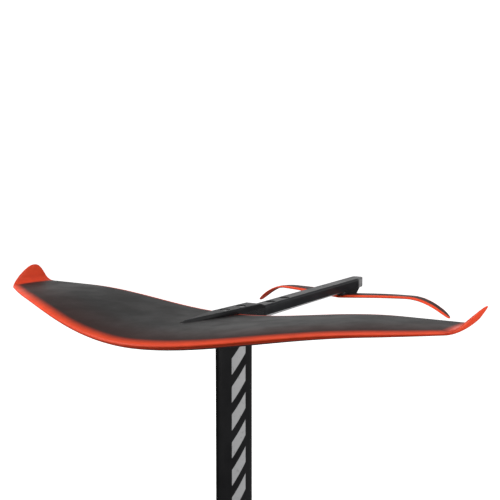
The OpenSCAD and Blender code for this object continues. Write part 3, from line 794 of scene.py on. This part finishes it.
def cap_screw(at, d, length, up):
    """Cap screw with a round head and a six-lobed socket."""
    r = d - 0.4
    prof = [(0, -2.0), (d * 0.30, -1.95), (d * 0.31, -1.9), (d * 0.31, -0.3), (d * 0.36, -0.02), (r - 0.5, 0),
            (r - 0.1, -0.25), (r, -0.6), (r, -3.3), (r - 0.2, -3.5), (d / 2, -3.5), (d / 2, -4.4)]
    return revolve("s", threaded(prof, d, -4.6, 1.0, length, 0.6, 0.7), at, up, 60, SOCKET_LOBES)


def insert(at, d, outer, height):
    """Brass tube with a knurled wall and a chamfered mouth."""
    wall = (outer - d) / 2
    c, k = 0.35 * wall, 0.25 * wall     # chamfer and depth of the knurl
    prof = [(d / 2, c), (d / 2 + c, 0), (outer / 2 - c, 0), (outer / 2, c)]
    h = 1.0
    while h + 1.2 < height - 1:
        prof += [(outer / 2, h), (outer / 2 - k, h + 0.3), (outer / 2 - k, h + 0.9), (outer / 2, h + 1.2)]
        h += 1.6
    prof += [(outer / 2, height - c), (outer / 2 - c, height), (d / 2 + c, height), (d / 2, height - c),
             (d / 2, c)]
    return revolve("i", prof, at, 1, 48)


def centres(node, k):
    """Axes of a node's k separate solids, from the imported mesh: x, y, lowest and highest z."""
    bm = bmesh.new()
    bm.from_mesh(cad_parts[node].data)
    bmesh.ops.remove_doubles(bm, verts=bm.verts, dist=2e-6)
    bm.verts.ensure_lookup_table()
    seen, out = set(), []
    for v in bm.verts:
        if v.index in seen:
            continue
        stack, group = [v], []
        seen.add(v.index)
        while stack:
            w = stack.pop()
            group.append(w.co.copy())
            for e in w.link_edges:
                o = e.other_vert(w)
                if o.index not in seen:
                    seen.add(o.index)
                    stack.append(o)
        g = np.array(group)
        lo, hi = g.min(0), g.max(0)
        out.append((float(lo[0] + hi[0]) / 2, float(lo[1] + hi[1]) / 2, float(lo[2]), float(hi[2])))
    bm.free()
    if len(out) != k:
        raise ValueError(f"{node}: {len(out)} solids, {k} expected")
    return sorted(out)


def flat_screws(node, k, d, head, up, pitch=1.25):
    made = [flat_screw((x, y, hi if up > 0 else lo), d, (hi - lo) / MM, head, up, pitch)
            for x, y, lo, hi in centres(node, k)]
    put(join(node + ".socket", made), steel, "stainless", node)


def inserts(node, k, d, outer):
    made = [insert((x, y, lo), d, outer, (hi - lo) / MM) for x, y, lo, hi in centres(node, k)]
    put(join(node + ".brass", made), brass, "brass", node)


flat_screws("mast_bolts", 2, 8, 16, 1)
flat_screws("base_screws", 3, 8, 14.5, -1)
flat_screws("collar_screws", 4, 5, 10, -1, 0.8)
flat_screws("rear_wing_screws", 2, 6, 11, -1, 1.0)
put(join("wing_screws.socket", [cap_screw((x, y, lo), 6, (hi - lo) / MM, -1)
                                for x, y, lo, hi in centres("wing_screws", 3)]),
    steel, "stainless", "wing_screws")
inserts("base_thread_inserts", 3, 8.1, 9.2)
inserts("top_thread_inserts", 2, 8.1, 9.2)
inserts("wing_thread_inserts", 3, 6.1, 8.0)
inserts("rear_thread_inserts", 2, 6.1, 8.0)

# ---------------------------------------------------------------- floor, light and camera
disc = bmesh.new()
bmesh.ops.create_grid(disc, x_segments=24, y_segments=24, size=30.0)
fm = bpy.data.meshes.new("floor")
disc.to_mesh(fm)
disc.free()
floor = link("floor", fm, None)
floor.location = (0, 0, -0.0005)
floor.data.materials.append(floor_paint("studio floor"))

# The view: azimuth and elevation, the lens, and where the camera looks past the fuselage's centre
AZ, EL = math.radians(31.506), math.radians(6.718)
LENS, SENSOR, DISTANCE = 72.07, 36.0, 1.6142
LOOK_RIGHT, LOOK_UP = 0.0250, 0.1193
toward = Vector((math.cos(AZ) * math.cos(EL), math.sin(AZ) * math.cos(EL), math.sin(EL)))
right = Vector((-math.sin(AZ), math.cos(AZ), 0))
up = toward.cross(right)
centre = Vector((0, 0, FUSE_Z))


def area(name, place, aim, size, watts):
    la = bpy.data.lights.new(name, "AREA")
    la.shape, la.size, la.size_y, la.energy = "RECTANGLE", size[0], size[1], watts
    ob = bpy.data.objects.new(name, la)
    bpy.context.scene.collection.objects.link(ob)
    ob.location = place
    ob.rotation_euler = (Vector(aim) - Vector(place)).to_track_quat("-Z", "Y").to_euler()
    ob.visible_camera = False


area("key softbox", centre + toward * 0.1 - right * 1.9 + Vector((0, 0, 1.6)), centre, (1.5, 1.1), 46)
area("top softbox", centre + Vector((-0.2, 0.2, 2.2)), centre + Vector((0.05, 0, 0)), (2.4, 2.4), 40)
area("low softbox", centre + toward * 0.2 - right * 1.8 + Vector((0, 0, -0.45)), centre, (0.8, 0.5), 10)
area("side softbox", centre + toward * 0.5 + right * 1.3, centre + right * 0.36, (0.5, 0.5), 14)

world = bpy.data.worlds.new("studio")
bpy.context.scene.world = world
world.use_nodes = True
wt = world.node_tree


def wnode(kind, op=None, ins=()):
    n = wt.nodes.new("ShaderNode" + kind)
    if op:
        n.operation = op
    for k, v in enumerate(ins):
        if isinstance(v, bpy.types.NodeSocket):
            wt.links.new(v, n.inputs[k])
        else:
            n.inputs[k].default_value = v
    return n


def wmath(op, *ins):
    return wnode("Math", op, ins).outputs[0]


def wspan(v, a, b, lo, hi):
    n = wnode("MapRange", None, (v, a, b, lo, hi))
    n.interpolation_type = "SMOOTHSTEP"
    return n.outputs["Result"]


# A white studio wall behind the object lights and shines on it; the room round it is dim.
# Seen directly, the room is plain white from every side.
WALL, ROOM = 1.6, 0.09
sky = wnode("SeparateXYZ", None, (wnode("TexCoord").outputs["Generated"],)).outputs
back = wmath("MULTIPLY_ADD", sky["X"], -math.cos(AZ), wmath("MULTIPLY", sky["Y"], -math.sin(AZ)))
wall = wmath("MULTIPLY", wspan(back, 0.45, 0.92, 0.0, WALL), wspan(sky["Z"], 0.0, 0.5, 1.0, 0.0))
seen = wnode("LightPath").outputs["Is Camera Ray"]
background = wt.nodes["Background"].inputs
wt.links.new(wmath("MAXIMUM", wmath("ADD", wall, ROOM), seen), background["Strength"])
background["Color"].default_value = (1, 1, 1, 1)

cam_data = bpy.data.cameras.new("camera")
cam = bpy.data.objects.new("camera", cam_data)
bpy.context.scene.collection.objects.link(cam)
cam_data.sensor_width = SENSOR
cam_data.lens = LENS
cam_data.clip_end = 200
cam.location = centre + right * LOOK_RIGHT + up * LOOK_UP + toward * DISTANCE
cam.rotation_euler = toward.to_track_quat("Z", "Y").to_euler()
bpy.context.scene.camera = cam

view = bpy.context.scene.view_settings
view.view_transform = "Standard"
view.look = "None"
view.exposure = 0.0
